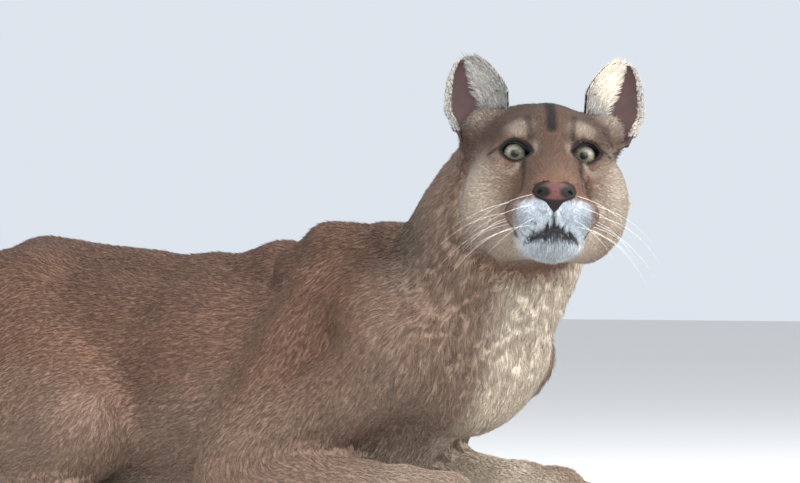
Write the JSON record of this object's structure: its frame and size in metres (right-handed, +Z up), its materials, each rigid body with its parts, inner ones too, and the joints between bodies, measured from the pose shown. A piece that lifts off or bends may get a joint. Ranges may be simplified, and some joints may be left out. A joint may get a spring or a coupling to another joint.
{
  "type": "cougar model",
  "caption": "Life-size still model of a cougar lying on its belly, forelegs stretched forward, head raised and turned to its right.",
  "frame": {"origin": "on the floor, at the middle of the animal's own box", "axes": "+X forward along the trunk, +Y to the animal's left, +Z up"},
  "size_m": [1.452, 0.5964, 0.5118],
  "materials": {
    "fur": "short tawny fur",
    "face_fur": "short grey-tawny fur, white round the mouth",
    "ear_fur": "cream hair inside, dark grey fur behind",
    "dark_fur": "dark brown fur",
    "nose": "moist bare skin",
    "eye": "wet, glossy"
  },
  "bodies": {
    "root": {"torso": "fur", "neck": "fur", "head": "face_fur", "ear_left": "ear_fur", "ear_right": "ear_fur", "eye_left": "eye", "eye_right": "eye", "nose": "nose", "foreleg_left": "fur", "foreleg_right": "fur", "forepaw_left": "fur", "forepaw_right": "fur", "hindleg_left": "fur", "hindleg_right": "fur", "hindpaw_left": "fur", "hindpaw_right": "fur", "tail_base": "fur", "tail_middle": "fur", "tail_tip": "dark_fur"}
  },
  "joints": []
}
